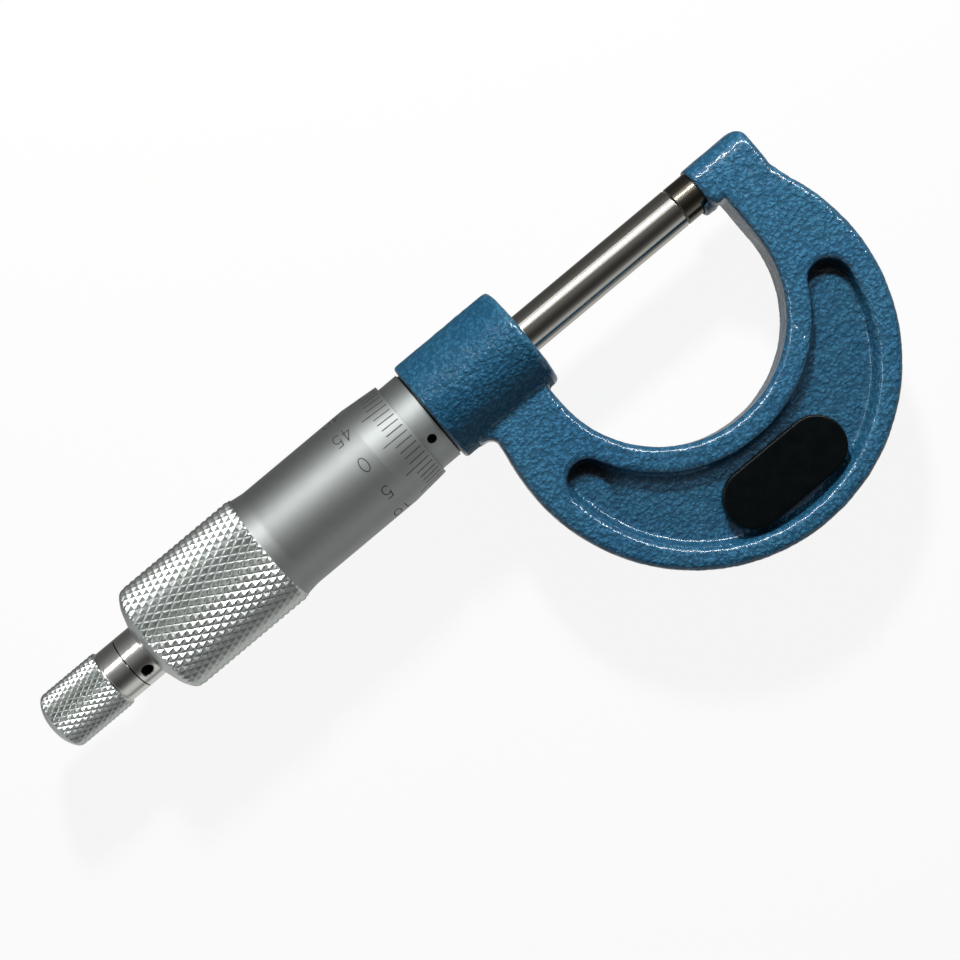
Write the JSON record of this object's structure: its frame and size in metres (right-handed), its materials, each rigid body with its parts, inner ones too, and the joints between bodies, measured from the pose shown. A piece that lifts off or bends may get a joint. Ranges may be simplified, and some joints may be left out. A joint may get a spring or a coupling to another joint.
{
  "type": "outside micrometer",
  "caption": "Outside micrometer with a pocketed C-shaped frame, heat-insulating pads, graduated sleeve and thimble, lever lock and ratchet stop; travel 25 mm.",
  "frame": {"origin": "centre of the anvil's measuring face, on the spindle's axis", "axes": "+X along the spindle's axis from the ratchet towards the anvil end of the frame; -Y towards the bow; +Z out of the back of the frame, so the reading side with the lock lever faces -Z"},
  "size_m": [0.1393, 0.0599, 0.0204],
  "materials": {
    "hammered_paint": "glossy hammer-tone enamel",
    "anvil_steel": "ground, dark",
    "spindle_steel": "ground and lapped",
    "satin_chrome": "satin",
    "inner_steel": "turned",
    "tip_brass": "turned",
    "pad_plastic": "satin black",
    "graduation_ink": "black filling of the engraved lines and figures"
  },
  "bodies": {
    "frame": {"frame": "hammered_paint", "anvil": "anvil_steel", "back_pad": "pad_plastic", "front_pad": "pad_plastic", "inner_sleeve": "inner_steel", "outer_sleeve": "satin_chrome", "adjusting_nut": "inner_steel"},
    "spindle": {"spindle": "spindle_steel"},
    "thimble": {"thimble": "satin_chrome", "ratchet_body": "satin_chrome", "ratchet_spring": "inner_steel", "ratchet_washer": "inner_steel", "ratchet_screw": "inner_steel"},
    "ratchet_ring": {"sliding_ratchet_ring": "inner_steel"},
    "ratchet_knob": {"ratchet_knob": "satin_chrome", "knob_ratchet_ring": "inner_steel"},
    "lock": {"lock_stud": "inner_steel", "lock_tip": "tip_brass", "lock_washer": "inner_steel", "lock_lever": "satin_chrome", "lock_screw": "inner_steel"}
  },
  "joints": [
    {"name": "spindle_travel", "type": "slide", "parent": "frame", "child": "spindle", "axis": [-1, 0, 0], "range_m": [-0.00025, 0.02475]},
    {"name": "thimble_turn", "type": "hinge", "parent": "spindle", "child": "thimble", "pos_m": [-0.08, 0, 0], "axis": [-1, 0, 0], "range_deg": [-180.1, 17820.1]},
    {"name": "ratchet_slip", "type": "hinge", "parent": "thimble", "child": "ratchet_knob", "pos_m": [-0.114, 0, 0], "axis": [1, 0, 0], "continuous": true},
    {"name": "ratchet_ring_lift", "type": "slide", "parent": "thimble", "child": "ratchet_ring", "axis": [1, 0, 0], "range_m": [0, 0.0004], "stiffness_N_per_m": 500, "springref_m": -0.002, "deforming": ["ratchet_spring"]},
    {"name": "lock_turn", "type": "hinge", "parent": "frame", "child": "lock", "pos_m": [-0.0375, 0, -0.009], "axis": [0, 0, 1], "range_deg": [0, 60]}
  ],
  "couplings": [
    {"joint": "thimble_turn", "follows": "spindle_travel", "rad_per_m": 12566}
  ]
}
